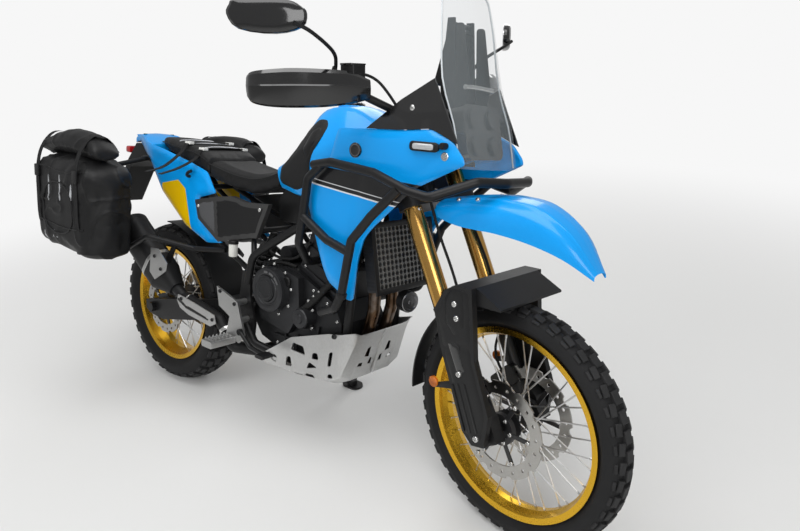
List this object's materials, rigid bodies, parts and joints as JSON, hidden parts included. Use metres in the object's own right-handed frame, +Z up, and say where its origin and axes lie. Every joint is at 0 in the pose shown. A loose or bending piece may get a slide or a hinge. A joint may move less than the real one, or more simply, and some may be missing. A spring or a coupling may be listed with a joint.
{
  "type": "adventure motorcycle",
  "caption": "Adventure motorcycle with tall clear screen, crash bars, skid plate, spoked wheels and soft side bags, parked leaning on its side stand.",
  "frame": {"origin": "on the floor at the middle of the parked machine's bounding box", "axes": "+X forwards, +Y to the machine's left, +Z up; the machine leans to its left on its side stand"},
  "size_m": [2.3786, 1.1292, 1.5013],
  "materials": {
    "bag_cloth": "coated cloth",
    "black_plastic": "satin",
    "black_steel": "satin powder coat",
    "blue_plastic": "gloss, azure",
    "bright_steel": "satin",
    "clear_screen": "clear, glossy",
    "dark_steel": "heat tinted",
    "engine_metal": "dark painted casting",
    "gloss_black": "gloss",
    "gold_alloy": "anodised gold",
    "lamp_lens": "clear lens over bright bowls",
    "raw_aluminium": "brushed",
    "seat_cover": "grained vinyl",
    "soft_black": "matt",
    "tyre_rubber": "matt"
  },
  "bodies": {
    "frame": {"main_frame": "black_steel", "subframe": "black_steel", "swingarm": "black_steel", "crankcase": "engine_metal", "cylinder_block": "engine_metal", "engine_covers": "engine_metal", "exhaust_headers": "dark_steel", "muffler": "black_steel", "heat_shields": "raw_aluminium", "radiator": "black_plastic", "radiator_guard": "black_steel", "horn": "black_plastic", "skid_plate": "raw_aluminium", "crash_bars": "black_steel", "fuel_tank": "blue_plastic", "shroud_right": "blue_plastic", "shroud_left": "blue_plastic", "side_deflectors": "black_plastic", "side_covers": "black_plastic", "seat_rear": "seat_cover", "seat_front": "seat_cover", "tail_fairing": "blue_plastic", "plate_holder": "black_plastic", "signal_lamps": "black_plastic", "headlight": "lamp_lens", "nav_tower": "black_plastic", "dash": "black_plastic", "screen": "clear_screen", "rear_shock": "bright_steel", "footrests": "raw_aluminium", "foot_controls": "black_steel", "rear_caliper": "engine_metal", "pannier_right": "bag_cloth", "pannier_left": "bag_cloth", "chain": "dark_steel", "bag_hoops": "black_steel", "hugger": "black_plastic", "brake_reservoir": "black_plastic"},
    "steering": {"triple_clamps": "black_steel", "fork_tubes": "gold_alloy", "fork_legs": "engine_metal", "front_calipers": "engine_metal", "fork_guards": "black_plastic", "front_fender": "blue_plastic", "handlebar": "black_steel", "hand_controls": "black_plastic", "handguards": "gloss_black", "mirrors": "gloss_black", "brake_hose_right": "soft_black", "brake_hose_left": "soft_black"},
    "front_wheel": {"front_tyre": "tyre_rubber", "front_rim": "gold_alloy", "front_spokes": "bright_steel", "front_discs": "bright_steel"},
    "rear_wheel": {"rear_tyre": "tyre_rubber", "rear_rim": "gold_alloy", "rear_spokes": "bright_steel", "rear_disc": "bright_steel", "rear_sprocket": "bright_steel"},
    "side_stand": {"side_stand": "black_steel"}
  },
  "joints": [
    {"name": "steering", "type": "hinge", "parent": "frame", "child": "steering", "pos_m": [0.951, -0.2627, 0.00386], "axis": [-0.4543, 0.1974, 0.8687], "range_deg": [-24.4, 45.6]},
    {"name": "front_wheel_spin", "type": "hinge", "parent": "steering", "child": "front_wheel", "pos_m": [0.84489, -0.19727, 0.34531], "axis": [0.164, 0.977, -0.1363], "continuous": true},
    {"name": "rear_wheel_spin", "type": "hinge", "parent": "frame", "child": "rear_wheel", "pos_m": [-0.76413, -0.1887, 0.32888], "axis": [0.0001, 0.9751, -0.2215], "continuous": true},
    {"name": "side_stand_fold", "type": "hinge", "parent": "frame", "child": "side_stand", "pos_m": [-0.1241, -0.04216, 0.26098], "axis": [0.1688, 0.8829, 0.4382], "range_deg": [0, 104]}
  ]
}
